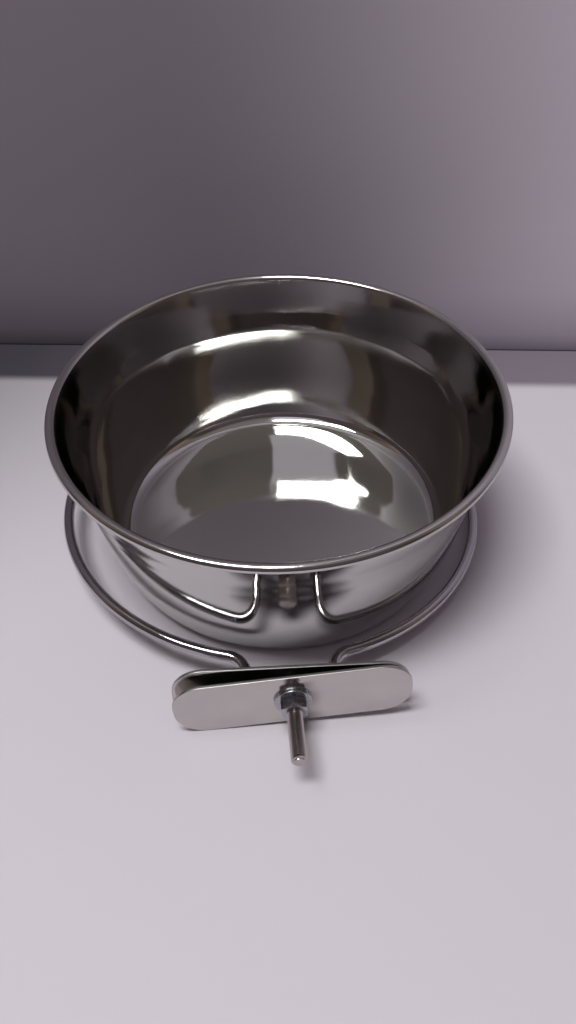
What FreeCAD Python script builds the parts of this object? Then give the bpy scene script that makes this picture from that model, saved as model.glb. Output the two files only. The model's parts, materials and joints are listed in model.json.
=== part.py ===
import FreeCAD, Part
import math
import os

from FreeCAD import Placement, Rotation, Vector

# Hanging feed bowl: a drawn steel bowl standing in its loose wire ring, which carries a screw clamp.
# Millimetres and degrees. The origin is the middle of the bowl's foot, on the table. +Z is up.
# The holder is drawn level, with the ring's middle as its origin and the clamp towards -Y.
# It is then tipped to lie on the table as a loose ring does, and set round the bowl.

# Bowl, one piece of thin polished sheet. Its radii and height are of the face seen from above.
rim_radius = 80.0
bowl_height = 65.0
sheet_thickness = 0.6
wall_foot_radius = 63.4
brim_width = 4.2
foot_bend_radius = 5.2
brim_bend_inner_radius = 0.4
hem_gap = 0.6
hem_width = 3.0

# Ring, one length of round wire with its two ends bent forward
wire_diameter = 4.0
end_bend_radius = 8.0
end_spacing = 29.0
end_straight = 5.8

# Clamp plates, cut from flat bar and alike but for the hole
plate_length = 76.0
plate_height = 23.0
plate_thickness = 1.2
plate_corner_radius = 10.0
jaw_gap = 2.7

# Clamp screw, nut and washer, metric 5
bolt_diameter = 5.0
bolt_length = 27.0
bolt_end_chamfer = 0.5
head_across_flats = 8.0
head_height = 3.5
nut_across_flats = 8.0
nut_height = 4.0
hex_bevel_angle = 30.0
hex_face_inset = 0.2
washer_diameter = 12.0
washer_thickness = 1.0

# Welds
wire_weld_width = 1.6
wire_weld_height = 1.8
tack_radius = 1.5
tack_top_radius = 0.9
tack_height = 1.2

# Clearances, each measured on one side
ring_clearance = 1.1
bolt_seat_clearance = 0.05
nut_clearance = 0.05
washer_clearance = 0.15
plate_hole_clearance = 0.25
face_clearance = 0.02

# Flats that stand for a small round form, which keeps the surfaces light
foot_bend_flats = 3
brim_bend_flats = 1
hem_bend_flats = 2
wire_flats = 12

# How the loose pieces lie
ring_shift_x = -3.7
ring_shift_y = 5.0
holder_turn = 3.5
front_plate_turn = 6.4
nut_turn = 5.0

# Worked out from the above
wall_top_radius = rim_radius - brim_width
hem_bend_radius = sheet_thickness + hem_gap / 2
hem_height = 2 * hem_bend_radius
wire_radius = wire_diameter / 2
ring_radius = wall_top_radius + sheet_thickness + ring_clearance + wire_radius
bolt_radius = bolt_diameter / 2
end_bend_y = math.sqrt((ring_radius + end_bend_radius) ** 2 - (end_spacing / 2 + end_bend_radius) ** 2)
plate_back_y = -(end_bend_y + end_straight)
front_plate_back_y = plate_back_y - plate_thickness - jaw_gap
washer_back_y = front_plate_back_y - plate_thickness - face_clearance
nut_back_y = washer_back_y - washer_thickness - face_clearance
bolt_end_y = plate_back_y - bolt_length

ORIGIN = Vector(0, 0, 0)
RIGHT = Vector(1, 0, 0)
UP = Vector(0, 0, 1)
FORWARD = Vector(0, -1, 0)
BACKWARD = Vector(0, 1, 0)
SAME_POINT = 1e-6
SETTLING_STEPS = 40
MITRED = 2


def rounded_path(corners):
    """Joins (point, radius, flats) corners by tangent arcs, or by that many chords of each if flats isn't 0."""
    edges = []
    start = corners[0][0]

    def run_straight_to(point):
        if not point.isEqual(start, SAME_POINT):
            edges.append(Part.LineSegment(start, point).toShape())

    for (before, _, _), (corner, radius, flats), (after, _, _) in zip(corners, corners[1:], corners[2:]):
        towards = (before - corner).normalize()
        away = (after - corner).normalize()
        half_angle = towards.getAngle(away) / 2
        tangent = radius / math.tan(half_angle)
        first = corner + towards * tangent
        last = corner + away * tangent
        bisector = (towards + away).normalize()
        middle = corner + bisector * (radius / math.sin(half_angle) - radius)
        bend = Part.Arc(first, middle, last).toShape()
        run_straight_to(first)
        edges += Part.makePolygon(bend.discretize(flats + 1)).Edges if flats else [bend]
        start = last
    run_straight_to(corners[-1][0])
    return Part.Wire(edges)


def bowl():
    """Drawn cup with tapered wall, whose brim is turned out flat and hemmed back under itself."""
    seen_face = rounded_path([
        (Vector(0, 0, sheet_thickness), 0, 0),
        (Vector(wall_foot_radius, 0, sheet_thickness), foot_bend_radius, foot_bend_flats),
        (Vector(wall_top_radius, 0, bowl_height), brim_bend_inner_radius + sheet_thickness, brim_bend_flats),
        (Vector(rim_radius, 0, bowl_height), hem_bend_radius, hem_bend_flats),
        (Vector(rim_radius, 0, bowl_height - hem_height), hem_bend_radius, hem_bend_flats),
        (Vector(rim_radius - hem_width, 0, bowl_height - hem_height), 0, 0),
    ])
    section = seen_face.makeOffset2D(-sheet_thickness, MITRED, True, True, False)
    return section.revolve(ORIGIN, UP, 360)


def ring_wire():
    """Round wire ring, open at the front, with each end bent forward to meet the back plate square."""
    bend_x = end_spacing / 2 + end_bend_radius
    turn = math.atan2(bend_x, end_bend_y)
    joint_x = ring_radius * math.sin(turn)
    joint_y = -ring_radius * math.cos(turn)
    half_turn = turn + (math.pi / 2 - turn) / 2

    def end(side):
        plate_end = Vector(side * end_spacing / 2, plate_back_y, 0)
        bend_end = Vector(side * end_spacing / 2, -end_bend_y, 0)
        bend_middle = Vector(side * (bend_x - end_bend_radius * math.sin(half_turn)),
                             -end_bend_y + end_bend_radius * math.cos(half_turn), 0)
        ring_end = Vector(side * joint_x, joint_y, 0)
        return plate_end, bend_end, bend_middle, ring_end

    left_plate, left_bend, left_middle, left_ring = end(-1)
    right_plate, right_bend, right_middle, right_ring = end(1)
    path = Part.Wire([
        Part.LineSegment(left_plate, left_bend).toShape(),
        Part.Arc(left_bend, left_middle, left_ring).toShape(),
        Part.Arc(left_ring, Vector(0, ring_radius, 0), right_ring).toShape(),
        Part.Arc(right_ring, right_middle, right_bend).toShape(),
        Part.LineSegment(right_bend, right_plate).toShape(),
    ])
    around = [math.radians(360 * corner / wire_flats) for corner in range(wire_flats + 1)]
    points = [left_plate + (RIGHT * math.cos(angle) + UP * math.sin(angle)) * wire_radius for angle in around]
    return path.makePipeShell([Part.makePolygon(points)], True, False)


def clamp_plate(back_y, hole_radius):
    """Flat bar with rounded corners and a bolt hole in the middle."""
    half_length = plate_length / 2
    half_height = plate_height / 2
    bottom_middle = (Vector(0, back_y, -half_height), 0, 0)
    outline = rounded_path([
        bottom_middle,
        (Vector(half_length, back_y, -half_height), plate_corner_radius, 0),
        (Vector(half_length, back_y, half_height), plate_corner_radius, 0),
        (Vector(-half_length, back_y, half_height), plate_corner_radius, 0),
        (Vector(-half_length, back_y, -half_height), plate_corner_radius, 0),
        bottom_middle,
    ])
    blank = Part.Face(outline).extrude(FORWARD * plate_thickness)
    hole = Part.makeCylinder(hole_radius, plate_thickness, Vector(0, back_y, 0), FORWARD)
    return blank.cut(hole).removeSplitter()


def hexagon(across_flats, height, back_y):
    """Hexagonal prism about the bolt axis, flats up and down, reaching forward from back_y."""
    corner_radius = across_flats / math.sqrt(3)
    angles = [math.radians(60 * corner) for corner in range(7)]
    points = [Vector(corner_radius * math.cos(angle), back_y, corner_radius * math.sin(angle))
              for angle in angles]
    return Part.Face(Part.makePolygon(points)).extrude(FORWARD * height)


def bevel_cone(across_flats, height, face_y, inward):
    """Cone that widens inward from a hexagon's end face. What it holds of the hexagon is bevelled."""
    face_radius = across_flats / 2 - hex_face_inset
    inner_radius = face_radius + height / math.tan(math.radians(hex_bevel_angle))
    return Part.makeCone(face_radius, inner_radius, height, Vector(0, face_y, 0), inward)


def clamp_bolt():
    """Hexagon head seated on the back of the back plate, and a round shank that points forward."""
    head_back_y = plate_back_y + head_height
    head = hexagon(head_across_flats, head_height, head_back_y)
    head = head.common(bevel_cone(head_across_flats, head_height, head_back_y, FORWARD))
    straight = bolt_length - bolt_end_chamfer
    shank = Part.makeCylinder(bolt_radius, straight, Vector(0, plate_back_y, 0), FORWARD)
    tip = Part.makeCone(bolt_radius, bolt_radius - bolt_end_chamfer, bolt_end_chamfer,
                        Vector(0, bolt_end_y + bolt_end_chamfer, 0), FORWARD)
    return head.fuse([shank, tip]).removeSplitter()


def washer():
    """Plain round washer between the front plate and the nut."""
    middle = Vector(0, washer_back_y, 0)
    disc = Part.makeCylinder(washer_diameter / 2, washer_thickness, middle, FORWARD)
    return disc.cut(Part.makeCylinder(bolt_radius + washer_clearance, washer_thickness, middle, FORWARD))


def hex_nut():
    """Hexagon nut, bevelled on both faces, with a plain bore."""
    front_y = nut_back_y - nut_height
    blank = hexagon(nut_across_flats, nut_height, nut_back_y)
    blank = blank.common(bevel_cone(nut_across_flats, nut_height, nut_back_y, FORWARD))
    blank = blank.common(bevel_cone(nut_across_flats, nut_height, front_y, BACKWARD))
    bore = Part.makeCylinder(bolt_radius + nut_clearance, nut_height, Vector(0, nut_back_y, 0), FORWARD)
    return blank.cut(bore)


def wire_weld(side):
    """Bead of weld round one wire end where it butts on the back plate."""
    root = Vector(wire_radius, plate_back_y, 0)
    toe = root + RIGHT * wire_weld_width
    top = root + BACKWARD * wire_weld_height
    outline = Part.makePolygon([root, toe, top, root])
    bead = Part.Face(outline).revolve(ORIGIN, BACKWARD, 360)
    return bead.translated(RIGHT * (side * end_spacing / 2))


def bolt_tacks():
    """Two tack welds, above and below, that keep the bolt head from turning on the back plate."""
    head = hexagon(head_across_flats, head_height, plate_back_y + head_height)
    beads = []
    for side in (-1, 1):
        centre = Vector(0, plate_back_y, side * head_across_flats / 2)
        bead = Part.makeCone(tack_radius, tack_top_radius, tack_height, centre, BACKWARD)
        beads.append(bead.cut(head))
    return Part.makeCompound(beads)


def lowest_of_circle(placement, centre, radius, across):
    """Height of the lowest point of a placed circle that lies in the plane of RIGHT and across."""
    rise_right = placement.Rotation.multVec(RIGHT).z
    rise_across = placement.Rotation.multVec(across).z
    return placement.multVec(centre).z - radius * math.hypot(rise_right, rise_across)


def resting_placement():
    """Tips the holder until the ring, the back plate and the front plate all touch the table."""
    reach_x = plate_length / 2 - plate_corner_radius
    reach_z = plate_height / 2 - plate_corner_radius
    depth = ring_radius - plate_back_y
    front_plate_lie = Rotation(FORWARD, front_plate_turn)
    front_corner = front_plate_lie.multVec(Vector(-reach_x, front_plate_back_y, -reach_z))
    back_corner = Vector(reach_x, plate_back_y, -reach_z)
    tilt = 0.0
    roll = 0.0
    height = 0.0
    for _ in range(SETTLING_STEPS):
        tipped = Rotation(BACKWARD, roll) * Rotation(RIGHT, -tilt)
        placement = Placement(Vector(ring_shift_x, ring_shift_y, height), Rotation(UP, holder_turn) * tipped)
        front_low = lowest_of_circle(placement, front_corner, plate_corner_radius, UP)
        back_low = lowest_of_circle(placement, back_corner, plate_corner_radius, UP)
        ring_low = lowest_of_circle(placement, ORIGIN, ring_radius, BACKWARD) - wire_radius
        roll += math.degrees((back_low - front_low) / (2 * reach_x))
        tilt += math.degrees((ring_low - (front_low + back_low) / 2) / depth)
        height -= ring_low
    return placement


def on_holder(shape):
    """Sets a piece drawn in the level holder where the holder lies on the table."""
    placed = shape.copy()
    placed.Placement = holder_placement.multiply(placed.Placement)
    return placed


def turned_on_bolt(shape, angle):
    """Turns a piece about the bolt, anticlockwise as seen from the front."""
    return shape.rotated(ORIGIN, FORWARD, angle)


holder_placement = resting_placement()
back_plate = clamp_plate(plate_back_y, bolt_radius + bolt_seat_clearance)
front_plate = clamp_plate(front_plate_back_y, bolt_radius + plate_hole_clearance)

nodes = {
    "bowl": bowl(),
    "ring_wire": on_holder(ring_wire()),
    "back_plate": on_holder(back_plate),
    "clamp_bolt": on_holder(clamp_bolt()),
    "left_wire_weld": on_holder(wire_weld(-1)),
    "right_wire_weld": on_holder(wire_weld(1)),
    "bolt_tacks": on_holder(bolt_tacks()),
    "front_plate": on_holder(turned_on_bolt(front_plate, front_plate_turn)),
    "washer": on_holder(washer()),
    "hex_nut": on_holder(turned_on_bolt(hex_nut(), nut_turn)),
}

os.makedirs("parts", exist_ok=True)
for name, shape in nodes.items():
    shape.exportStep("parts/" + name + ".step")
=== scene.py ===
import json
import math

import bmesh
import bpy
import numpy as np
from bpy.props import FloatProperty, FloatVectorProperty, IntProperty, PointerProperty
from mathutils import Matrix, Vector


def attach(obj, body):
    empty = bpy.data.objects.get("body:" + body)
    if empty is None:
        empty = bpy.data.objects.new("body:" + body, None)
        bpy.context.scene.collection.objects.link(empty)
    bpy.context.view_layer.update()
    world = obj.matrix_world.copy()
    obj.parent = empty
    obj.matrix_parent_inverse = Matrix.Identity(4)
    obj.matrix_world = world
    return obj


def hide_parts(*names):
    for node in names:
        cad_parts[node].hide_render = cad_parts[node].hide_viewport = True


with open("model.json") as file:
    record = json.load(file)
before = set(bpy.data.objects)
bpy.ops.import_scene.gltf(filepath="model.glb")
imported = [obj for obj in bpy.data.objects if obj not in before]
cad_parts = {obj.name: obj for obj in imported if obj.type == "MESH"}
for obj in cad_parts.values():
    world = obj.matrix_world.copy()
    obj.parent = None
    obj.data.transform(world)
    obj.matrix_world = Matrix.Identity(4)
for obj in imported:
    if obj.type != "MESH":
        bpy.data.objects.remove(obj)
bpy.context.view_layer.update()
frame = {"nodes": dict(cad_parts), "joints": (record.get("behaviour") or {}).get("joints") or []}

bl_info = {
    "name": "Hanging feed bowl",
    "version": (1, 0, 0),
    "blender": (4, 5, 0),
    "location": "View3D > Sidebar > Feed bowl",
    "description": "A polished feed bowl in its wire ring holder with a screw clamp",
    "category": "Add Mesh",
}

MM = 0.001
UP = Vector((0, 0, 1))
FORWARD = Vector((0, -1, 0))
SMOOTH_ANGLE = math.radians(32)


# Sizes and colours that a user would change

def length(name, description, millimetres):
    """A size in the sidebar, shown in the scene's unit of length."""
    return FloatProperty(name=name, description=description, default=millimetres * MM, unit="LENGTH", precision=5)


def angle(name, description, degrees):
    """An angle in the sidebar."""
    return FloatProperty(name=name, description=description, default=math.radians(degrees), subtype="ANGLE")


def linear(hex_colour):
    """Turns an sRGB hex colour into the linear colour that shaders and lamps read."""
    channels = [int(hex_colour[place:place + 2], 16) / 255 for place in (0, 2, 4)]
    return [c / 12.92 if c <= 0.04045 else ((c + 0.055) / 1.055) ** 2.4 for c in channels] + [1.0]


def colour(name, description, hex_colour):
    """A colour in the sidebar."""
    return FloatVectorProperty(name=name, description=description, default=linear(hex_colour), size=4,
                               subtype="COLOR", min=0, max=1)


class CupSizes(bpy.types.PropertyGroup):
    """Sizes of the drawn bowl."""
    rim_radius: length("Rim radius", "Middle to the outer edge of the rolled rim", 80)
    height: length("Height", "Foot to the top of the brim", 65)
    sheet: length("Sheet", "Thickness of the sheet", 0.6)
    foot_radius: length("Foot radius", "Where the lower wall's line meets the floor", 62.3)
    belly_radius: length("Belly radius", "Where the lower wall's line meets the upper wall's", 67.5)
    belly_height: length("Belly height", "Height of that meeting", 13.5)
    flare_radius: length("Flare radius", "Where the wall starts to flare", 72.36)
    flare_height: length("Flare height", "Height at which the wall starts to flare", 46.5)
    brim_width: length("Brim width", "Wall's line at the top to the outer edge of the rolled brim", 3.25)
    foot_bend: length("Foot bend", "Radius of the bend between floor and wall", 6.5)
    belly_bend: length("Belly bend", "Radius of the long curve low in the wall", 78)
    flare_bend: length("Flare bend", "Radius of the long curve towards the brim", 110)
    bead: length("Bead", "Radius of the round top of the rolled brim", 1.8)
    hem_bend: length("Hem bend", "Radius of the last fold at the edge, outside", 0.2)
    hem_width: length("Hem width", "How far the edge is folded back under the brim", 2.2)
    draw_wave: length("Draw waves", "Height of the faint waves that pressing leaves in the wall", 0.006)
    crown: length("Floor crown", "How far the floor bulges up in the middle", 0.05)


class RingSizes(bpy.types.PropertyGroup):
    """Sizes of the bent wire ring."""
    radius: length("Ring radius", "Middle of the ring to the middle of the wire", 79.5)
    wire: length("Wire", "Thickness of the wire", 3.97)
    end_bend: length("End bend", "Radius of the bend towards the clamp", 8.0)
    end_spacing: length("End spacing", "Between the middles of the two wire ends", 29.0)
    end_straight: length("End straight", "Straight wire between the bend and the plate", 5.8)
    weld_width: length("Weld width", "Width of the bead round each wire end", 1.6)
    weld_height: length("Weld height", "How far the bead climbs the wire", 1.8)


class ClampSizes(bpy.types.PropertyGroup):
    """Sizes of the plates, bolt, washer and nut."""
    plate_length: length("Plate length", "Length of each plate", 76.0)
    plate_height: length("Plate height", "Width of the bar that the plates are cut from", 23.0)
    plate_thickness: length("Plate thickness", "Thickness of the bar", 1.2)
    plate_corner: length("Plate corner", "Radius of the plates' corners", 10.0)
    jaw_gap: length("Jaw gap", "Space between the plates", 2.7)
    bolt: length("Bolt", "Outside diameter of the thread", 5.0)
    bolt_length: length("Bolt length", "Back plate's back to the bolt's end", 27.0)
    pitch: length("Thread pitch", "Travel of the nut in one turn", 0.8)
    head_flats: length("Head across flats", "Width of the bolt's head", 8.0)
    head_height: length("Head height", "Height of the bolt's head", 3.5)
    nut_flats: length("Nut across flats", "Width of the nut", 8.0)
    nut_height: length("Nut height", "Height of the nut", 4.0)
    washer: length("Washer", "Outside diameter of the washer", 12.0)
    washer_thickness: length("Washer thickness", "Thickness of the washer", 1.0)
    seat: length("Face clearance", "Space left between faces that only touch", 0.02)
    front_turn: angle("Front plate turn", "How far the front plate has swung on the bolt", 6.4)
    nut_turn: angle("Nut turn", "How the nut stands on the bolt", 5.0)


class FinishColours(bpy.types.PropertyGroup):
    """Colours of the metals and of the room."""
    stainless: colour("Stainless", "Polished stainless sheet", "c8c7c4")
    wire: colour("Wire", "Nickel plated wire", "b4b2b5")
    plate: colour("Plate", "Satin nickel plated bar", "c6c2c0")
    sheared: colour("Sheared edge", "Cut edge of the bar", "b0aeac")
    zinc: colour("Zinc", "Zinc plated nut and washer", "b6b8bd")
    bolt: colour("Bolt", "Zinc plated bolt", "c2bcba")
    weld: colour("Weld", "Plated-over weld", "9d9a98")
    table: colour("Table", "Table that the bowl stands on", "cac4cc")
    # The wall's two colours are the ends of light painted across it, dim on the left and bright on the right.
    wall: colour("Wall", "Wall behind the table, where it is dimmest", "888089")
    wall_bright: colour("Bright wall", "Wall behind the table, where it is brightest", "e4dce8")


class StageSizes(bpy.types.PropertyGroup):
    """Camera and surroundings."""
    focal: FloatProperty(name="Focal length", description="Lens, on a 36 mm sensor", default=28.83,
                         unit="CAMERA")
    camera_place: FloatVectorProperty(name="Camera place", description="Where the camera stands",
                                      default=(0.00172, -0.2267, 0.2406), subtype="TRANSLATION")
    pitch: angle("Pitch", "How far the camera looks down", 46.094)
    yaw: angle("Yaw", "How far the camera looks to the right", 0.172)
    roll: angle("Roll", "How far the camera leans", -1.318)
    wall_place: length("Wall", "From the bowl's middle back to the wall", 120.1)
    wall_turn: angle("Wall turn", "How far the wall is turned from square", -3.62)
    # Width of the strip of painted shadow on the table along the wall.
    painted_shadow_width: length("Ledge shade", "Width of the dim strip of table along the wall", 28)
    samples: IntProperty(name="Turn steps", description="Steps in one full turn of the bowl", default=288, min=48)


class FeedBowlSettings(bpy.types.PropertyGroup):
    """All the settings of the feed bowl."""
    cup: PointerProperty(type=CupSizes)
    ring: PointerProperty(type=RingSizes)
    clamp: PointerProperty(type=ClampSizes)
    finish: PointerProperty(type=FinishColours)
    stage: PointerProperty(type=StageSizes)


# Where the holder lies. Its own frame has the ring's middle as origin and the clamp towards -Y.

def holder_matrix():
    """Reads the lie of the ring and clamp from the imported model, whose joints give the bolt's line."""
    joints = {joint["name"]: joint for joint in frame["joints"]}
    back = -Vector(joints["clamp_travel"]["axis"]).normalized()
    points = np.array([vertex.co for vertex in frame["nodes"]["ring_wire"].data.vertices])
    spread = np.linalg.svd(points - points.mean(0), full_matrices=False)[2]
    flat = Vector(spread[2])
    flat = flat if flat.z > 0 else -flat
    up = (flat - back * flat.dot(back)).normalized()
    right = back.cross(up)
    turned = Matrix((right, back, up)).transposed().to_4x4()
    origin = Vector(joints["plate_swing"]["pos_m"]) - back * front_plate_back_y()
    return Matrix.Translation(origin) @ turned


def end_bend_y():
    """Distance from the ring's middle to the middle of the two end bends."""
    ring = settings().ring
    reach = ring.radius + ring.end_bend
    return math.sqrt(reach ** 2 - (ring.end_spacing / 2 + ring.end_bend) ** 2)


def plate_back_y():
    """Back face of the back plate, where the wire ends butt."""
    return -(end_bend_y() + settings().ring.end_straight)


def front_plate_back_y():
    """Back face of the front plate."""
    clamp = settings().clamp
    return plate_back_y() - clamp.plate_thickness - clamp.jaw_gap


def washer_back_y():
    """Back face of the washer."""
    clamp = settings().clamp
    return front_plate_back_y() - clamp.plate_thickness - clamp.seat


def nut_back_y():
    """Back face of the nut."""
    clamp = settings().clamp
    return washer_back_y() - clamp.washer_thickness - clamp.seat


def settings():
    """The settings of the scene."""
    return bpy.context.scene.feed_bowl


# Mesh helpers

def profile_wire(bm, points):
    """Vertices joined by edges through points of (distance, height) in the XZ plane."""
    corners = [bm.verts.new((x, 0, z)) for x, z in points]
    for first, second in zip(corners, corners[1:]):
        bm.edges.new((first, second))
    return corners


def round_corner(bm, corner, radius, steps):
    """Turns one corner of a wire into a tangent arc of that radius."""
    sides = [edge.other_vert(corner).co - corner.co for edge in corner.link_edges]
    tangent = radius / math.tan(sides[0].angle(sides[1]) / 2)
    bmesh.ops.bevel(bm, geom=[corner], offset=tangent, offset_type="OFFSET", segments=steps, profile=0.5,
                    affect="VERTICES", material=-1)


def turn_about(bm, geometry, centre, axis, degrees, steps, travel=0.0, merge=False):
    """Spins geometry and gives back the last copy."""
    turned = bmesh.ops.spin(bm, geom=geometry, cent=centre, axis=axis, dvec=axis * (travel / steps),
                            angle=math.radians(degrees), steps=steps, use_merge=merge, use_duplicate=False)
    return turned["geom_last"]


def round_edges(bm, edges, width, steps):
    """Breaks sharp edges with a small round."""
    bmesh.ops.bevel(bm, geom=edges, offset=width, offset_type="OFFSET", segments=steps, profile=0.5,
                    affect="EDGES", clamp_overlap=True, material=-1)


def clean(bm, distance=1e-7):
    """Merges doubles and turns all faces outwards."""
    bmesh.ops.remove_doubles(bm, verts=bm.verts, dist=distance)
    bmesh.ops.recalc_face_normals(bm, faces=bm.faces)


def finished(name, bm, body, nodes, materials, placement=None):
    """Makes the object of a piece, in its place, riding on its body and standing for its nodes."""
    if placement:
        bmesh.ops.transform(bm, matrix=placement, verts=bm.verts)
    for face in bm.faces:
        face.smooth = True
    for edge in bm.edges:
        edge.smooth = edge.is_manifold and edge.calc_face_angle(0) < SMOOTH_ANGLE
    mesh = bpy.data.meshes.new(name)
    bm.to_mesh(mesh)
    bm.free()
    for material in materials:
        mesh.materials.append(material)
    piece = bpy.data.objects.new(name, mesh)
    bpy.context.scene.collection.objects.link(piece)
    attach(piece, body)
    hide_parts(*nodes)
    return piece


def combined(bm, tool, operation):
    """Cuts one closed mesh by another and gives back the result as a new bmesh."""
    objects = []
    for source in (bm, tool):
        mesh = bpy.data.meshes.new("cutting")
        source.to_mesh(mesh)
        source.free()
        objects.append(bpy.data.objects.new("cutting", mesh))
        bpy.context.scene.collection.objects.link(objects[-1])
    modifier = objects[0].modifiers.new("cut", "BOOLEAN")
    modifier.operation = operation
    modifier.solver = "EXACT"
    modifier.object = objects[1]
    bpy.context.view_layer.update()
    evaluated = objects[0].evaluated_get(bpy.context.evaluated_depsgraph_get())
    result = bmesh.new()
    result.from_mesh(evaluated.data)
    for piece in objects:
        mesh = piece.data
        bpy.data.objects.remove(piece)
        bpy.data.meshes.remove(mesh)
    return result


# Materials

def add(tree, kind, inputs=(), **values):
    """Adds a node, sets its properties and inputs, and links an input that is given a socket."""
    node = tree.nodes.new(kind)
    for name, value in values.items():
        setattr(node, name, value)
    for name, value in dict(inputs).items():
        if isinstance(value, bpy.types.NodeSocket):
            tree.links.new(value, node.inputs[name])
        else:
            node.inputs[name].default_value = value
    return node


def ramp(tree, factor, stops):
    """A colour ramp through (position, hex colour) stops."""
    node = add(tree, "ShaderNodeValToRGB", {"Fac": factor})
    marks = node.color_ramp.elements
    while len(marks) < len(stops):
        marks.new(1.0)
    for mark, (position, hex_colour) in zip(marks, stops):
        mark.position = position
        mark.color = linear(hex_colour)
    return node.outputs["Color"]


def metal(name, base, roughness):
    """A new metal material with its tree, its shader and its Object coordinates."""
    material = bpy.data.materials.new(name)
    material.use_nodes = True
    tree = material.node_tree
    shader = tree.nodes["Principled BSDF"]
    shader.inputs["Base Color"].default_value = base
    shader.inputs["Metallic"].default_value = 1.0
    shader.inputs["Roughness"].default_value = roughness
    place = add(tree, "ShaderNodeTexCoord").outputs["Object"]
    return material, tree, shader, place


def polished_stainless():
    """Stainless sheet, deep drawn and mirror polished on a lathe."""
    material, tree, shader, place = metal("Polished stainless sheet", settings().finish.stainless, 0.07)
    # Distance from the bowl's axis and height, which polishing marks follow round the bowl.
    apart = add(tree, "ShaderNodeSeparateXYZ", {"Vector": place})
    across = add(tree, "ShaderNodeCombineXYZ", {"X": apart.outputs["X"], "Y": apart.outputs["Y"]})
    radius = add(tree, "ShaderNodeVectorMath", {0: across.outputs["Vector"]}, operation="LENGTH")
    along = add(tree, "ShaderNodeMath", {0: radius.outputs["Value"], 1: apart.outputs["Z"]}, operation="ADD")
    # Polishing hairlines, far finer on the real sheet and drawn about 0.35 mm apart so that they show.
    lines = add(tree, "ShaderNodeTexNoise", {"W": along.outputs["Value"], "Scale": 2800.0, "Detail": 3.0,
                                             "Roughness": 0.65}, noise_dimensions="1D")
    # Cloudy shine, in patches about 25 mm wide, from uneven buffing and handling.
    clouds = add(tree, "ShaderNodeTexNoise", {"Vector": place, "Scale": 40.0, "Detail": 4.0, "Roughness": 0.6})
    smear = add(tree, "ShaderNodeMapRange", {"Value": clouds.outputs["Fac"], "From Min": 0.35, "From Max": 0.75,
                                             "To Min": 0.02, "To Max": 0.06})
    rough = add(tree, "ShaderNodeMath", {0: lines.outputs["Fac"], 1: 0.025, 2: smear.outputs["Result"]},
                operation="MULTIPLY_ADD")
    # The rolled rim, above 62 mm, is only satin: it is rubbed by the ring, by stacking and by hands.
    rolled = add(tree, "ShaderNodeMapRange", {"Value": apart.outputs["Z"], "From Min": 61 * MM,
                                              "From Max": 63 * MM, "To Max": 0.07})
    worn = add(tree, "ShaderNodeMath", {0: rough.outputs["Value"], 1: rolled.outputs["Result"]}, operation="ADD")
    tree.links.new(worn.outputs["Value"], shader.inputs["Roughness"])
    # Waves of the drawn sheet, about 30 mm long, which bend what the sheet mirrors.
    waves = add(tree, "ShaderNodeTexNoise", {"Vector": place, "Scale": 34.0, "Detail": 1.0, "Roughness": 0.4})
    bent = add(tree, "ShaderNodeBump", {"Height": waves.outputs["Fac"], "Strength": 1.0, "Distance": 0.00022})
    fine = add(tree, "ShaderNodeBump", {"Height": lines.outputs["Fac"], "Strength": 0.16, "Distance": 0.00002,
                                        "Normal": bent.outputs["Normal"]})
    tree.links.new(fine.outputs["Normal"], shader.inputs["Normal"])
    return material


def plated_wire():
    """Drawn steel wire, nickel plated: bright, with small dulled patches and shallow dents."""
    material, tree, shader, place = metal("Nickel plated wire", settings().finish.wire, 0.1)
    # Dulled patches about 5 mm long where the ring rubs on the cup.
    patches = add(tree, "ShaderNodeTexNoise", {"Vector": place, "Scale": 190.0, "Detail": 3.0, "Roughness": 0.6})
    rough = add(tree, "ShaderNodeMapRange", {"Value": patches.outputs["Fac"], "From Min": 0.4,
                                             "From Max": 0.7, "To Min": 0.05, "To Max": 0.18})
    tree.links.new(rough.outputs["Result"], shader.inputs["Roughness"])
    # Shallow dents about 2 mm wide from bending and tumbling.
    dents = add(tree, "ShaderNodeTexNoise", {"Vector": place, "Scale": 420.0, "Detail": 2.0, "Roughness": 0.5})
    bump = add(tree, "ShaderNodeBump", {"Height": dents.outputs["Fac"], "Strength": 0.5, "Distance": 0.00005})
    tree.links.new(bump.outputs["Normal"], shader.inputs["Normal"])
    return material


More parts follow.
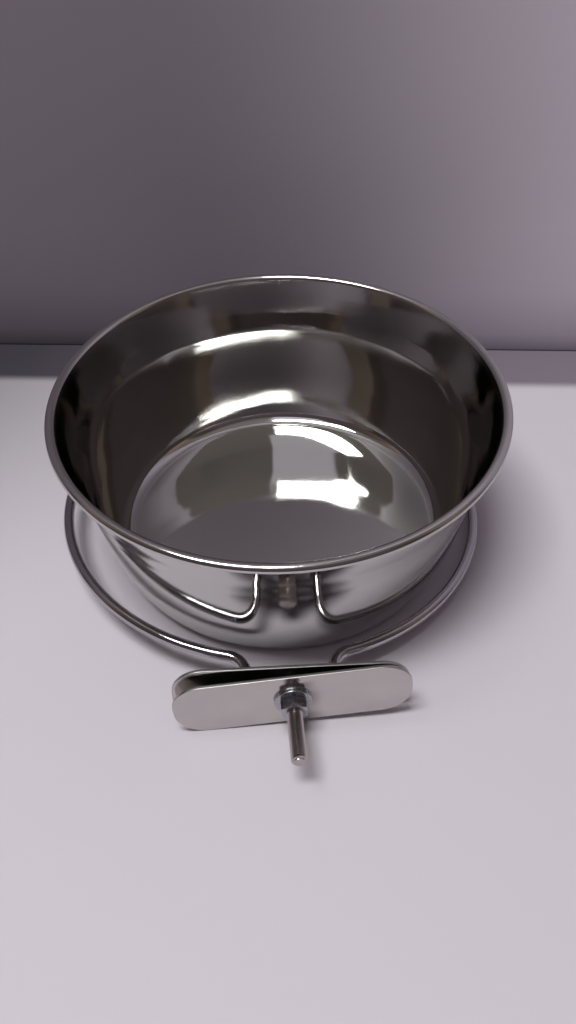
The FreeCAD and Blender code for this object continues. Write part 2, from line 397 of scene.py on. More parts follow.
def plate_steel(placement):
    """Cold rolled flat bar, nickel plated: a soft mirror with faint rolling streaks along its length."""
    material, tree, shader, place = metal("Satin plated flat bar", settings().finish.plate, 0.2)
    # The streaks follow the bar, so the pattern is turned to the plate and stretched along it.
    level = add(tree, "ShaderNodeMapping", {"Vector": place, "Rotation": placement.to_euler()},
                vector_type="TEXTURE")
    drawn = add(tree, "ShaderNodeMapping", {"Vector": level.outputs["Vector"], "Scale": (0.03, 1.0, 1.0)})
    # Streaks about 0.4 mm apart and 14 mm long.
    streaks = add(tree, "ShaderNodeTexNoise", {"Vector": drawn.outputs["Vector"], "Scale": 2400.0, "Detail": 3.0,
                                               "Roughness": 0.5})
    # Clouds about 12 mm wide where the plating is duller and a little darker.
    clouds = add(tree, "ShaderNodeTexNoise", {"Vector": place, "Scale": 80.0, "Detail": 3.0, "Roughness": 0.5})
    base = add(tree, "ShaderNodeMapRange", {"Value": clouds.outputs["Fac"], "From Min": 0.3, "From Max": 0.7,
                                            "To Min": 0.08, "To Max": 0.15})
    rough = add(tree, "ShaderNodeMath", {0: streaks.outputs["Fac"], 1: 0.05, 2: base.outputs["Result"]},
                operation="MULTIPLY_ADD")
    tree.links.new(rough.outputs["Value"], shader.inputs["Roughness"])
    tint = add(tree, "ShaderNodeMixRGB", {"Fac": clouds.outputs["Fac"], "Color1": linear("bcb8b8"),
                                          "Color2": linear("d0cbc6")})
    tree.links.new(tint.outputs["Color"], shader.inputs["Base Color"])
    # A bar is never quite flat. Waves about 25 mm long soften what it mirrors.
    waves = add(tree, "ShaderNodeTexNoise", {"Vector": place, "Scale": 40.0, "Detail": 0.0})
    bent = add(tree, "ShaderNodeBump", {"Height": waves.outputs["Fac"], "Strength": 1.0, "Distance": 0.0003})
    fine = add(tree, "ShaderNodeBump", {"Height": streaks.outputs["Fac"], "Strength": 0.12, "Distance": 0.00002,
                                        "Normal": bent.outputs["Normal"]})
    tree.links.new(fine.outputs["Normal"], shader.inputs["Normal"])
    return material


def sheared_edge(placement):
    """Cut edge of flat bar: faint torn lines across the thickness, plated over and bright at their crests."""
    material, tree, shader, place = metal("Sheared and plated edge", settings().finish.sheared, 0.22)
    level = add(tree, "ShaderNodeMapping", {"Vector": place, "Rotation": placement.to_euler()},
                vector_type="TEXTURE")
    # Tears about 1 mm apart that run straight through the thickness.
    across = add(tree, "ShaderNodeMapping", {"Vector": level.outputs["Vector"], "Scale": (1.0, 0.1, 1.0)})
    tears = add(tree, "ShaderNodeTexNoise", {"Vector": across.outputs["Vector"], "Scale": 900.0, "Detail": 3.0,
                                             "Roughness": 0.55})
    rough = add(tree, "ShaderNodeMapRange", {"Value": tears.outputs["Fac"], "From Min": 0.3, "From Max": 0.7,
                                             "To Min": 0.42, "To Max": 0.3})
    tree.links.new(rough.outputs["Result"], shader.inputs["Roughness"])
    bump = add(tree, "ShaderNodeBump", {"Height": tears.outputs["Fac"], "Strength": 0.15, "Distance": 0.00005})
    tree.links.new(bump.outputs["Normal"], shader.inputs["Normal"])
    return material


def zinc_hardware(name, base, dullest):
    """Zinc plated fastener: cold and even, with a slight bloom that clouds its shine."""
    material, tree, shader, place = metal(name, base, dullest)
    # Cloudy spots about 1 mm wide.
    spots = add(tree, "ShaderNodeTexNoise", {"Vector": place, "Scale": 900.0, "Detail": 4.0, "Roughness": 0.6})
    rough = add(tree, "ShaderNodeMapRange", {"Value": spots.outputs["Fac"], "From Min": 0.3, "From Max": 0.7,
                                             "To Min": 0.6 * dullest, "To Max": dullest})
    tree.links.new(rough.outputs["Result"], shader.inputs["Roughness"])
    shade = [channel * 0.8 for channel in base[:3]] + [1.0]
    tint = add(tree, "ShaderNodeMixRGB", {"Fac": spots.outputs["Fac"], "Color1": shade, "Color2": base})
    tree.links.new(tint.outputs["Color"], shader.inputs["Base Color"])
    bump = add(tree, "ShaderNodeBump", {"Height": spots.outputs["Fac"], "Strength": 0.12, "Distance": 0.00003})
    tree.links.new(bump.outputs["Normal"], shader.inputs["Normal"])
    return material


def weld_bead():
    """Weld metal under plating: darker, grainy, with a heat-tinted tone in its hollows."""
    material, tree, shader, place = metal("Plated weld bead", settings().finish.weld, 0.42)
    grain = add(tree, "ShaderNodeTexNoise", {"Vector": place, "Scale": 1500.0, "Detail": 5.0, "Roughness": 0.7})
    tint = add(tree, "ShaderNodeMixRGB", {"Fac": grain.outputs["Fac"], "Color1": linear("5e5450"),
                                          "Color2": settings().finish.weld})
    tree.links.new(tint.outputs["Color"], shader.inputs["Base Color"])
    bump = add(tree, "ShaderNodeBump", {"Height": grain.outputs["Fac"], "Strength": 0.7, "Distance": 0.00012})
    tree.links.new(bump.outputs["Normal"], shader.inputs["Normal"])
    return material


# Pieces

def nut_blank(flats, height, back_y, both_ends):
    """Hexagon with its end corners turned off at 30 degrees, reaching forward from back_y."""
    bm = bmesh.new()
    standing = Matrix.Translation((0, back_y - height / 2, 0)) @ Matrix.Rotation(math.radians(90), 4, "X")
    corner_radius = flats / math.sqrt(3)
    bmesh.ops.create_cone(bm, cap_ends=True, segments=6, radius1=corner_radius, radius2=corner_radius,
                          depth=height, matrix=standing)
    tool = bmesh.new()
    face_radius = flats / 2 - 0.2 * MM
    outer = flats * 0.62
    drop = (outer - face_radius) * math.tan(math.radians(30))
    front = back_y - height
    back_points = [(0, back_y), (face_radius, back_y), (outer, back_y - drop)]
    front_points = [(outer, front + drop), (face_radius, front), (0, front)]
    if not both_ends:
        front_points = [(outer, front), (0, front)]
    profile_wire(tool, back_points + front_points)
    for vertex in tool.verts:
        vertex.co = Vector((vertex.co.x, vertex.co.z, 0))
    turn_about(tool, tool.verts[:] + tool.edges[:], Vector(), Vector((0, 1, 0)), 360, 96, merge=True)
    clean(tool)
    clean(bm)
    return combined(bm, tool, "INTERSECT")


def thread_strip(bm, crest, start_y, turns, root_flat, crest_flat):
    """One metric thread, spun forward from start_y as a ridge that climbs one pitch a turn."""
    pitch = settings().clamp.pitch
    depth = 0.6134 * pitch
    root = crest - depth
    flank = (1 - root_flat - crest_flat) / 2
    shares = [(root, 0), (root, root_flat), (crest, root_flat + flank), (crest, root_flat + flank + crest_flat),
              (root, 1)]
    corners = [bm.verts.new((radius, start_y - share * pitch, 0)) for radius, share in shares]
    edges = [bm.edges.new(pair) for pair in zip(corners, corners[1:])]
    turn_about(bm, corners + edges, Vector((0, start_y, 0)), FORWARD, 360 * turns, 28 * turns,
               travel=pitch * turns)
    bmesh.ops.remove_doubles(bm, verts=bm.verts, dist=0.004 * MM)


def cut_flat(bm, y, keep_behind):
    """Cuts a threaded body square across the bolt's line and closes the cut."""
    cut = bmesh.ops.bisect_plane(bm, geom=bm.verts[:] + bm.edges[:] + bm.faces[:], dist=1e-8, plane_co=(0, y, 0),
                                 plane_no=FORWARD, clear_outer=keep_behind, clear_inner=not keep_behind)
    edges = [item for item in cut["geom_cut"] if isinstance(item, bmesh.types.BMEdge)]
    bmesh.ops.holes_fill(bm, edges=edges, sides=0)


def threaded_rod(crest, back_y, front_y, root_flat=0.25, crest_flat=0.125):
    """Closed rod with a real thread between two square cuts."""
    pitch = settings().clamp.pitch
    turns = math.ceil((back_y - front_y) / pitch) + 2
    bm = bmesh.new()
    thread_strip(bm, crest, back_y + pitch, turns, root_flat, crest_flat)
    cut_flat(bm, back_y, False)
    cut_flat(bm, front_y, True)
    clean(bm)
    return bm


def cup_mesh():
    """Sheet profile of the seen face, spun round the axis, then given its thickness."""
    cup = settings().cup
    hem_height = cup.bead + cup.hem_bend
    bm = bmesh.new()
    corners = profile_wire(bm, [
        (0, cup.sheet),
        (cup.foot_radius, cup.sheet),
        (cup.belly_radius, cup.belly_height),
        (cup.flare_radius, cup.flare_height),
        (cup.rim_radius - cup.brim_width, cup.height),
        (cup.rim_radius, cup.height),
        (cup.rim_radius, cup.height - hem_height),
        (cup.rim_radius - cup.hem_width, cup.height - hem_height),
    ])
    round_corner(bm, corners[1], cup.foot_bend, 14)
    round_corner(bm, corners[2], cup.belly_bend, 28)
    round_corner(bm, corners[3], cup.flare_bend, 28)
    round_corner(bm, corners[4], cup.bead, 14)
    round_corner(bm, corners[5], cup.bead, 14)
    round_corner(bm, corners[6], cup.hem_bend * 0.999, 4)
    for edge in bm.edges[:]:
        cuts = int(edge.calc_length() / (8 * MM))
        if cuts:
            bmesh.ops.subdivide_edges(bm, edges=[edge], cuts=cuts)
    shape_by_press(bm)
    turn_about(bm, bm.verts[:] + bm.edges[:], Vector(), UP, 360, settings().stage.samples, merge=True)
    clean(bm)
    if sum(face.normal.z * face.calc_area() for face in bm.faces) < 0:
        bmesh.ops.reverse_faces(bm, faces=bm.faces)
    bmesh.ops.solidify(bm, geom=bm.faces[:], thickness=cup.sheet)
    return bm


def shape_by_press(bm):
    """Gives the floor its slight crown and the wall the faint waves of drawing."""
    cup = settings().cup
    floor_reach = cup.foot_radius - cup.foot_bend
    wall_top = cup.rim_radius - cup.brim_width
    for vertex in bm.verts:
        radius, height = vertex.co.x, vertex.co.z
        if height < cup.sheet + 1e-6 and radius < floor_reach:
            vertex.co.z += cup.crown * (0.5 + 0.5 * math.cos(math.pi * radius / floor_reach))
        low_fade = min(1, max(0, (height - 20 * MM) / (8 * MM)))
        high_fade = min(1, max(0, (cup.height - 6 * MM - height) / (8 * MM)))
        wave = math.sin(height / (2.1 * MM)) + 0.6 * math.sin(height / (0.9 * MM) + 1.0)
        if radius < wall_top:
            vertex.co.x += cup.draw_wave * wave * low_fade * high_fade


class FEEDBOWL_OT_cup(bpy.types.Operator):
    """Add the drawn bowl with its hemmed rim"""
    bl_idname = "feed_bowl.cup"
    bl_label = "Bowl"

    def execute(self, context):
        finished("drawn_bowl", cup_mesh(), "bowl", ["bowl"], [polished_stainless()])
        return {"FINISHED"}


class FEEDBOWL_OT_ring(bpy.types.Operator):
    """Add the wire ring with its two bent ends"""
    bl_idname = "feed_bowl.ring"
    bl_label = "Wire ring"

    def execute(self, context):
        ring = settings().ring
        half = ring.end_spacing / 2
        bend_x = half + ring.end_bend
        turn = math.degrees(math.atan2(bend_x, end_bend_y()))
        bm = bmesh.new()
        facing = Matrix.Translation((-half, plate_back_y(), 0)) @ Matrix.Rotation(math.radians(90), 4, "X")
        start = bmesh.ops.create_circle(bm, cap_ends=True, segments=28, radius=ring.wire / 2, matrix=facing)
        section = start["verts"] + list({edge for vertex in start["verts"] for edge in vertex.link_edges})
        run = bmesh.ops.extrude_edge_only(bm, edges=[item for item in section if isinstance(item, bmesh.types.BMEdge)])
        section = run["geom"]
        moved = [item for item in section if isinstance(item, bmesh.types.BMVert)]
        bmesh.ops.translate(bm, verts=moved, vec=(0, ring.end_straight, 0))
        section = moved + [item for item in section if isinstance(item, bmesh.types.BMEdge)]
        section = turn_about(bm, section, Vector((-bend_x, -end_bend_y(), 0)), UP, 90 - turn, 16)
        section = turn_about(bm, section, Vector(), -UP, 360 - 2 * turn, 320)
        section = turn_about(bm, section, Vector((bend_x, -end_bend_y(), 0)), UP, 90 - turn, 16)
        run = bmesh.ops.extrude_edge_only(bm, edges=[item for item in section if isinstance(item, bmesh.types.BMEdge)])
        moved = [item for item in run["geom"] if isinstance(item, bmesh.types.BMVert)]
        bmesh.ops.translate(bm, verts=moved, vec=(0, -ring.end_straight, 0))
        bmesh.ops.holes_fill(bm, edges=[edge for edge in bm.edges if edge.is_boundary], sides=0)
        clean(bm)
        finished("bent_ring", bm, "holder", ["ring_wire"], [plated_wire()], holder_matrix())
        return {"FINISHED"}


def plate_mesh(back_y, hole_radius):
    """Flat bar with rounded corners and a bolt hole. Its cut edges take the second material."""
    clamp = settings().clamp
    bm = bmesh.new()
    standing = Matrix.Translation((0, back_y, 0)) @ Matrix.Rotation(math.radians(90), 4, "X")
    shaped = standing @ Matrix.Diagonal((clamp.plate_length, clamp.plate_height, 1, 1))
    bmesh.ops.create_grid(bm, x_segments=1, y_segments=1, size=0.5, matrix=shaped)
    bmesh.ops.bevel(bm, geom=bm.verts[:], offset=clamp.plate_corner, offset_type="OFFSET", segments=16,
                    profile=0.5, affect="VERTICES", material=-1)
    bmesh.ops.delete(bm, geom=bm.faces[:], context="FACES_ONLY")
    bmesh.ops.create_circle(bm, cap_ends=False, segments=48, radius=hole_radius, matrix=standing)
    bmesh.ops.bridge_loops(bm, edges=bm.edges[:])
    pulled = bmesh.ops.extrude_face_region(bm, geom=bm.faces[:], use_keep_orig=True)
    moved = [item for item in pulled["geom"] if isinstance(item, bmesh.types.BMVert)]
    bmesh.ops.translate(bm, verts=moved, vec=FORWARD * clamp.plate_thickness)
    clean(bm)
    for face in bm.faces:
        face.material_index = 0 if abs(face.normal.y) > 0.5 else 1
    sharp = [edge for edge in bm.edges if edge.calc_face_angle(0) > math.radians(60)]
    round_edges(bm, sharp, 0.22 * MM, 3)
    return bm


class FEEDBOWL_OT_plates(bpy.types.Operator):
    """Add the two plates that pinch a cage bar"""
    bl_idname = "feed_bowl.plates"
    bl_label = "Clamp plates"

    def execute(self, context):
        clamp = settings().clamp
        placement = holder_matrix()
        swung = placement @ Matrix.Rotation(clamp.front_turn, 4, FORWARD)
        bolt_radius = clamp.bolt / 2
        finished("rear_jaw", plate_mesh(plate_back_y(), bolt_radius + 0.05 * MM), "holder",
                 ["back_plate"], [plate_steel(placement), sheared_edge(placement)], placement)
        finished("front_jaw", plate_mesh(front_plate_back_y(), bolt_radius + 0.25 * MM), "front_plate",
                 ["front_plate"], [plate_steel(swung), sheared_edge(swung)], swung)
        return {"FINISHED"}


class FEEDBOWL_OT_bolt(bpy.types.Operator):
    """Add the bolt with its hexagon head and thread"""
    bl_idname = "feed_bowl.bolt"
    bl_label = "Bolt"

    def execute(self, context):
        clamp = settings().clamp
        start = plate_back_y()
        end = start - clamp.bolt_length
        bolt_radius = clamp.bolt / 2
        bm = threaded_rod(bolt_radius, start, end)
        for vertex in bm.verts:
            across = Vector((vertex.co.x, 0, vertex.co.z))
            limit = bolt_radius - 0.55 * MM + (vertex.co.y - end)
            if across.length > limit:
                across *= limit / across.length
                vertex.co = Vector((across.x, vertex.co.y, across.z))
        head = nut_blank(clamp.head_flats, clamp.head_height, start + clamp.head_height, False)
        head_edges = [edge for edge in head.edges if edge.calc_face_angle(0) > math.radians(25)]
        round_edges(head, head_edges, 0.08 * MM, 2)
        joined = bpy.data.meshes.new("head")
        head.to_mesh(joined)
        head.free()
        bm.from_mesh(joined)
        bpy.data.meshes.remove(joined)
        bmesh.ops.recalc_face_normals(bm, faces=bm.faces)
        finished("threaded_bolt", bm, "holder", ["clamp_bolt"],
                 [zinc_hardware("Zinc plated bolt", settings().finish.bolt, 0.24)], holder_matrix())
        return {"FINISHED"}


class FEEDBOWL_OT_washer(bpy.types.Operator):
    """Add the washer under the nut"""
    bl_idname = "feed_bowl.washer"
    bl_label = "Washer"

    def execute(self, context):
        clamp = settings().clamp
        inner = clamp.bolt / 2 + 0.15 * MM
        outer = clamp.washer / 2
        back = washer_back_y()
        front = back - clamp.washer_thickness
        bm = bmesh.new()
        corners = [bm.verts.new(point) for point in ((inner, back, 0), (outer, back, 0), (outer, front, 0),
                                                     (inner, front, 0))]
        bm.faces.new(corners)
        bmesh.ops.bevel(bm, geom=corners, offset=0.14 * MM, offset_type="OFFSET", segments=3, profile=0.5,
                        affect="VERTICES", material=-1)
        bmesh.ops.delete(bm, geom=bm.faces[:], context="FACES_ONLY")
        turn_about(bm, bm.verts[:] + bm.edges[:], Vector(), FORWARD, 360, 72, merge=True)
        clean(bm)
        finished("round_washer", bm, "washer", ["washer"],
                 [zinc_hardware("Zinc plated washer", settings().finish.zinc, 0.34)], holder_matrix())
        return {"FINISHED"}


class FEEDBOWL_OT_nut(bpy.types.Operator):
    """Add the hexagon nut with its threaded bore"""
    bl_idname = "feed_bowl.nut"
    bl_label = "Nut"

    def execute(self, context):
        clamp = settings().clamp
        back = nut_back_y()
        bm = nut_blank(clamp.nut_flats, clamp.nut_height, back, True)
        edges = [edge for edge in bm.edges if edge.calc_face_angle(0) > math.radians(25)]
        round_edges(bm, edges, 0.08 * MM, 2)
        bore = threaded_rod(clamp.bolt / 2 + 0.06 * MM, back + MM, back - clamp.nut_height - MM, 0.125, 0.25)
        bm = combined(bm, bore, "DIFFERENCE")
        turned = holder_matrix() @ Matrix.Rotation(clamp.nut_turn, 4, FORWARD)
        finished("hexagon_nut", bm, "nut", ["hex_nut"],
                 [zinc_hardware("Zinc plated nut", settings().finish.zinc, 0.3)], turned)
        return {"FINISHED"}


class FEEDBOWL_OT_welds(bpy.types.Operator):
    """Add the weld beads round the wire ends and beside the bolt's head"""
    bl_idname = "feed_bowl.welds"
    bl_label = "Welds"

    def execute(self, context):
        ring = settings().ring
        clamp = settings().clamp
        material = weld_bead()
        for name, node, side in (("left_bead", "left_wire_weld", -1), ("right_bead", "right_wire_weld", 1)):
            bm = bmesh.new()
            inner = ring.wire / 2 - 0.05 * MM
            points = ((inner, 0), (ring.wire / 2 + ring.weld_width, 0), (ring.wire / 2 + 0.45 * ring.weld_width, 0.42 * ring.weld_height),
                      (inner, ring.weld_height))
            corners = [bm.verts.new((x, y, 0)) for x, y in points]
            edges = [bm.edges.new(pair) for pair in zip(corners, corners[1:] + corners[:1])]
            bmesh.ops.subdivide_edges(bm, edges=edges[1:3], cuts=5)
            turn_about(bm, bm.verts[:] + bm.edges[:], Vector(), Vector((0, 1, 0)), 360, 120, merge=True)
            clean(bm)
            ripple(bm, 13, 0.10 * MM, ring.wire / 2)
            bmesh.ops.translate(bm, verts=bm.verts, vec=(side * ring.end_spacing / 2, plate_back_y(), 0))
            finished(name, bm, "holder", [node], [material], holder_matrix())
        bm = bmesh.new()
        for side in (-1, 1):
            centre = Vector((0, plate_back_y() + 0.1 * MM, side * (clamp.head_flats / 2 + 0.2 * MM)))
            bmesh.ops.create_uvsphere(bm, u_segments=28, v_segments=16, radius=1.2 * MM,
                                      matrix=Matrix.Translation(centre))
        bmesh.ops.bisect_plane(bm, geom=bm.verts[:] + bm.edges[:] + bm.faces[:], dist=1e-8,
                               plane_co=(0, plate_back_y(), 0), plane_no=FORWARD, clear_outer=True)
        bmesh.ops.holes_fill(bm, edges=[edge for edge in bm.edges if edge.is_boundary], sides=0)
        clean(bm)
        finished("head_tacks", bm, "holder", ["bolt_tacks"], [material], holder_matrix())
        return {"FINISHED"}


def ripple(bm, count, height, inner):
    """Gives a bead the overlapping ripples that a weld leaves as it goes round."""
    for vertex in bm.verts:
        turn = math.atan2(vertex.co.z, vertex.co.x)
        across = math.hypot(vertex.co.x, vertex.co.z)
        if vertex.co.y > 1e-6 and across > inner:
            share = 1 - height / MM * (0.5 + 0.5 * math.cos(count * turn + 400 * vertex.co.y)) * 3
            reach = inner + (across - inner) * max(0.6, share)
            vertex.co.x *= reach / across
            vertex.co.z *= reach / across
            vertex.co.y *= max(0.75, share)


# Stage

def area_lamp(name, place, aim, width, depth, power, tint):
    """A soft lamp that looks from place towards aim."""
    data = bpy.data.lights.new(name, "AREA")
    data.shape = "RECTANGLE"
    data.size = width
    data.size_y = depth
    data.energy = power
    data.color = linear(tint)[:3]
    lamp = bpy.data.objects.new(name, data)
    bpy.context.scene.collection.objects.link(lamp)
    lamp.location = place
    lamp.rotation_euler = (Vector(aim) - Vector(place)).to_track_quat("-Z", "Y").to_euler()
    return lamp


def matt(name, base):
    """A plain matt material for the stage."""
    material = bpy.data.materials.new(name)
    material.use_nodes = True
    shader = material.node_tree.nodes["Principled BSDF"]
    shader.inputs["Base Color"].default_value = base
    shader.inputs["Roughness"].default_value = 0.7
    shader.inputs["Specular IOR Level"].default_value = 0.2
    return material


def wall_paint():
    """Matt paint with painted light: brighter to the right, painted shade darkening towards the table and a dark
    painted crease at its foot. Clear from behind, for views from the back.
    """
    finish = settings().finish
    material = matt("Matt wall paint", finish.wall)
    tree = material.node_tree
    shader = tree.nodes["Principled BSDF"]
    place = add(tree, "ShaderNodeTexCoord").outputs["Object"]
    apart = add(tree, "ShaderNodeSeparateXYZ", {"Vector": place})
    # Painted light: the paint runs from the dim wall colour on the left to the bright one on the right.
    across = add(tree, "ShaderNodeMapRange", {"Value": apart.outputs["X"], "From Min": -0.05, "From Max": 0.2},
                 interpolation_type="SMOOTHSTEP")
    painted_light = add(tree, "ShaderNodeMixRGB", {"Fac": across.outputs["Result"], "Color1": finish.wall,
                                           "Color2": finish.wall_bright})
    # Painted shade: darker towards the table over the lowest 64 mm, with a dark painted crease at the very foot.
    painted_foot_shade = ramp(tree, add(tree, "ShaderNodeMapRange", {"Value": apart.outputs["Z"], "From Max": 0.08}).outputs["Result"],
               [(0.0, "3c3c3c"), (0.015, "b4b4b8"), (0.12, "e0dee2"), (0.4, "f8f7f9"), (0.8, "ffffff")])
    shaded = add(tree, "ShaderNodeMixRGB", {"Fac": 1.0, "Color1": painted_light.outputs["Color"], "Color2": painted_foot_shade},
                 blend_type="MULTIPLY")
    tree.links.new(shaded.outputs["Color"], shader.inputs["Base Color"])
    side = add(tree, "ShaderNodeNewGeometry")
    clear = add(tree, "ShaderNodeBsdfTransparent")
    mixed = add(tree, "ShaderNodeMixShader", {0: side.outputs["Backfacing"], 1: shader.outputs["BSDF"],
                                              2: clear.outputs["BSDF"]})
    tree.links.new(mixed.outputs["Shader"], tree.nodes["Material Output"].inputs["Surface"])
    return material


def table_laminate():
    """Pale matt laminate with painted shadow: a soft dim strip along the wall, as under a ledge, and painted shade
    darkening the far left corner.
    """
    finish = settings().finish
    stage = settings().stage
    material = matt("Pale matt laminate", finish.table)
    tree = material.node_tree
    place = add(tree, "ShaderNodeTexCoord").outputs["Object"]
    square = add(tree, "ShaderNodeMapping", {"Vector": place, "Rotation": (0, 0, stage.wall_turn)},
                 vector_type="TEXTURE")
    apart = add(tree, "ShaderNodeSeparateXYZ", {"Vector": square.outputs["Vector"]})
    # Painted shadow: a soft dim strip of table along the wall, as if under a ledge, darker to the left.
    edge = stage.wall_place - stage.painted_shadow_width
    strip = add(tree, "ShaderNodeMapRange", {"Value": apart.outputs["Y"], "From Min": edge - 4 * MM,
                                             "From Max": edge + 3 * MM}, interpolation_type="SMOOTHSTEP")
    across = add(tree, "ShaderNodeMapRange", {"Value": apart.outputs["X"], "From Min": -0.13, "From Max": 0.13})
    shade = ramp(tree, across.outputs["Result"], [(0.0, "6e6a72"), (1.0, "a09aa2")])
    painted_ledge_shadow = add(tree, "ShaderNodeMixRGB", {"Fac": strip.outputs["Result"], "Color1": (1, 1, 1, 1),
                                             "Color2": shade})
    # Painted shade that dims the far left of the table, down to 0.45 at its darkest.
    apart_by = add(tree, "ShaderNodeVectorMath", {0: place, 1: (-0.2, 0.13, 0.0)}, operation="DISTANCE")
    corner = add(tree, "ShaderNodeMapRange", {"Value": apart_by.outputs["Value"], "From Min": 0.02, "From Max": 0.21,
                                              "To Min": 0.45}, interpolation_type="SMOOTHSTEP")
    painted_shadows = add(tree, "ShaderNodeMixRGB", {"Fac": 1.0, "Color1": painted_ledge_shadow.outputs["Color"],
                                            "Color2": corner.outputs["Result"]}, blend_type="MULTIPLY")
    laid = add(tree, "ShaderNodeMixRGB", {"Fac": 1.0, "Color1": finish.table, "Color2": painted_shadows.outputs["Color"]},
               blend_type="MULTIPLY")
    tree.links.new(laid.outputs["Color"], tree.nodes["Principled BSDF"].inputs["Base Color"])
    return material


def flat_sheet(name, width, depth, placement, material):
    """A flat rectangle of the stage."""
    bm = bmesh.new()
    bmesh.ops.create_grid(bm, x_segments=1, y_segments=1, size=0.5,
                          matrix=placement @ Matrix.Diagonal((width, depth, 1, 1)))
    mesh = bpy.data.meshes.new(name)
    bm.to_mesh(mesh)
    bm.free()
    mesh.materials.append(material)
    piece = bpy.data.objects.new(name, mesh)
    bpy.context.scene.collection.objects.link(piece)
    return piece


def room():
    """The dim room that the metal mirrors: mauve-brown walls with a few upright shapes, darkest in front."""
    world = bpy.data.worlds.new("Dim room")
    bpy.context.scene.world = world
    world.use_nodes = True
    tree = world.node_tree
    place = add(tree, "ShaderNodeTexCoord").outputs["Generated"]
    apart = add(tree, "ShaderNodeSeparateXYZ", {"Vector": place})
    # Looking towards the camera is 0.5, to its right side 0.75.
    turn = add(tree, "ShaderNodeMath", {0: apart.outputs["X"], 1: apart.outputs["Y"]}, operation="ARCTAN2")
    share = add(tree, "ShaderNodeMapRange", {"Value": turn.outputs["Value"], "From Min": math.pi,
                                             "From Max": -math.pi})
    low = ramp(tree, apart.outputs["Z"], [(0.0, "8b888a"), (0.25, "7d7876"), (0.55, "9a9491"), (0.85, "7c7775"),
                                          (1.0, "88827f")])
    upright = ramp(tree, share.outputs["Result"], ROOM_SHAPES)
    shapes = add(tree, "ShaderNodeMixRGB", {"Fac": 1.0, "Color1": low, "Color2": upright}, blend_type="MULTIPLY")
    overhead = ramp(tree, apart.outputs["Z"], [(0.77, "000000"), (0.86, "ffffff")])
    mixed = add(tree, "ShaderNodeMixRGB", {"Fac": overhead, "Color1": shapes.outputs["Color"], "Color2": low})
    background = tree.nodes["Background"]
    tree.links.new(mixed.outputs["Color"], background.inputs["Color"])
    background.inputs["Strength"].default_value = 1.0


class FEEDBOWL_OT_stage(bpy.types.Operator):
    """Add the table, the wall, the lamps and the camera"""
    bl_idname = "feed_bowl.stage"
    bl_label = "Stage"

    def execute(self, context):
        stage = settings().stage
        flat_sheet("table", 8, 8, Matrix.Identity(4), table_laminate())
        turned = Matrix.Translation((0, stage.wall_place, 0)) @ Matrix.Rotation(stage.wall_turn, 4, "Z")
        upright = turned @ Matrix.Translation((0, 0, 0.5)) @ Matrix.Rotation(math.radians(90), 4, "X")
        flat_sheet("wall", 8, 1.0, upright, wall_paint())
        area_lamp("ceiling_light", (-0.345, -0.235, 1.5), (-0.345, -0.235, 0), 0.75, 0.32, 18.8, "fcfdfc")
        soft = area_lamp("wall_bounce", (-0.55, 0.45, 1.45), (0, 0, 0), 0.7, 0.5, 11, "fcfdfc")
        soft.visible_glossy = False
        area_lamp("ceiling_glow", (-0.26, -0.68, 1.5), (-0.26, -0.68, 0), 0.72, 0.56, 0.8, "f2eeff")
        room()
        data = bpy.data.cameras.new("photo_view")
        data.sensor_width = 36
        data.sensor_fit = "AUTO"
        data.lens = stage.focal
        camera = bpy.data.objects.new("photo_view", data)
        context.scene.collection.objects.link(camera)
        level = Matrix.Rotation(-stage.yaw, 4, "Z") @ Matrix.Rotation(math.radians(90) - stage.pitch, 4, "X")
        leaned = level @ Matrix.Rotation(stage.roll, 4, "Z")
        camera.matrix_world = Matrix.Translation(Vector(stage.camera_place)) @ leaned
        context.scene.camera = camera
        context.scene.view_settings.view_transform = "Standard"
        return {"FINISHED"}


# Sidebar

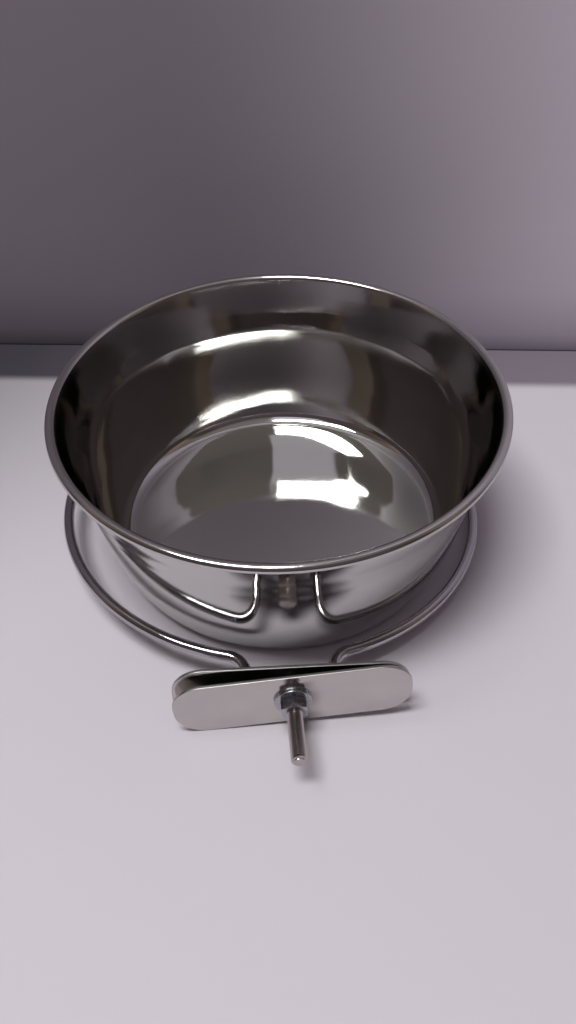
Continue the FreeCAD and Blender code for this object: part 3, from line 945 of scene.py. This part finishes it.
class FEEDBOWL_PT_panel(bpy.types.Panel):
    """Lists the pieces and their sizes"""
    bl_label = "Feed bowl"
    bl_idname = "FEEDBOWL_PT_panel"
    bl_space_type = "VIEW_3D"
    bl_region_type = "UI"
    bl_category = "Feed bowl"

    def draw(self, context):
        for operator in PIECES:
            self.layout.operator(operator.bl_idname)
        for group in (settings().cup, settings().ring, settings().clamp, settings().finish, settings().stage):
            box = self.layout.box()
            for name in group.__annotations__:
                box.prop(group, name)


# Upright shapes of the room as a share of its light, round from behind the wall by the left.
ROOM_SHAPES = [
    (0.00, "a497a3"), (0.13, "a698a4"), (0.16, "8a7e80"), (0.19, "9c908e"), (0.20, "e4d6d0"), (0.22, "e0d0c8"), (0.27, "e0ccc2"),
    (0.28, "96867e"), (0.33, "b8a498"), (0.345, "bca69a"), (0.35, "807c84"), (0.40, "7c7c88"), (0.43, "6c7490"),
    (0.46, "7c88ac"), (0.475, "5c5c68"), (0.53, "585258"), (0.56, "8c7c70"), (0.595, "a8968a"), (0.60, "5c5450"),
    (0.66, "6c625c"), (0.68, "d0bcb0"), (0.76, "dac6ba"), (0.775, "a89c98"), (0.83, "988e90"), (0.90, "988c96"),
    (1.00, "a497a3"),
]
PIECES = (FEEDBOWL_OT_cup, FEEDBOWL_OT_ring, FEEDBOWL_OT_plates, FEEDBOWL_OT_bolt, FEEDBOWL_OT_washer,
          FEEDBOWL_OT_nut, FEEDBOWL_OT_welds, FEEDBOWL_OT_stage)
GROUPS = (CupSizes, RingSizes, ClampSizes, FinishColours, StageSizes, FeedBowlSettings)


def register():
    """Registers the settings, operators and panel."""
    for group in GROUPS + PIECES + (FEEDBOWL_PT_panel,):
        bpy.utils.register_class(group)
    bpy.types.Scene.feed_bowl = PointerProperty(type=FeedBowlSettings)


def unregister():
    """Removes what register added."""
    del bpy.types.Scene.feed_bowl
    for group in reversed(GROUPS + PIECES + (FEEDBOWL_PT_panel,)):
        bpy.utils.unregister_class(group)


def main():
    """Builds every piece and the stage."""
    register()
    bpy.ops.feed_bowl.cup()
    bpy.ops.feed_bowl.ring()
    bpy.ops.feed_bowl.plates()
    bpy.ops.feed_bowl.bolt()
    bpy.ops.feed_bowl.washer()
    bpy.ops.feed_bowl.nut()
    bpy.ops.feed_bowl.welds()
    bpy.ops.feed_bowl.stage()


if __name__ == "__main__":
    main()
